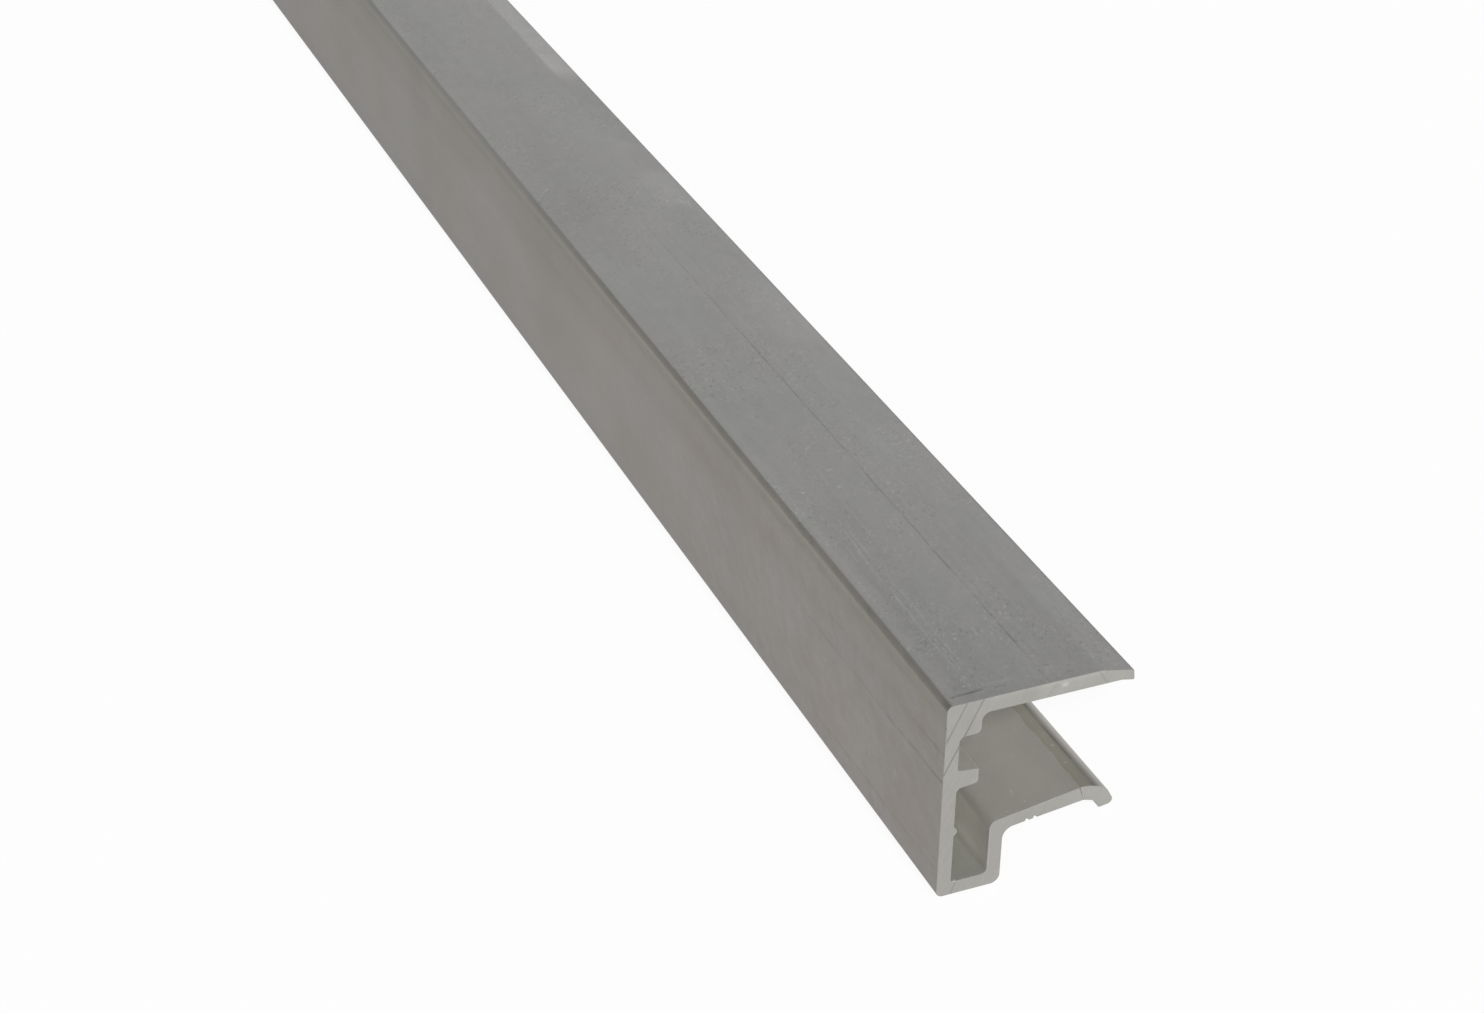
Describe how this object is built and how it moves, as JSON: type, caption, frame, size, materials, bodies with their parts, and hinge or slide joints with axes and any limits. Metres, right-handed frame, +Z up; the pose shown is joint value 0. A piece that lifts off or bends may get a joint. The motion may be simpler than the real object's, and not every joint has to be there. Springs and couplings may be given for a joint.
{
  "type": "aluminium extrusion profile",
  "caption": "Extruded aluminium edge profile: tall web with inner stops, flat top flange with turned-down lip, drip trough and sprung hooked lower flange that grips a multiwall sheet.",
  "frame": {"origin": "centre of the bounding box on the floor, below the bar's middle", "axes": "+Y along the bar away from the pictured end, +Z up from the floor, +X from the web towards the lip; the section leans over by its resting tilt, on the trough's corner and the hook"},
  "size_m": [0.0362, 1, 0.0301],
  "materials": {
    "mill_aluminium": "mill finish as extruded, dull grey with faint die lines along the bar, sawn bright at the ends"
  },
  "bodies": {
    "root": {"edge_profile": "mill_aluminium"}
  },
  "joints": []
}
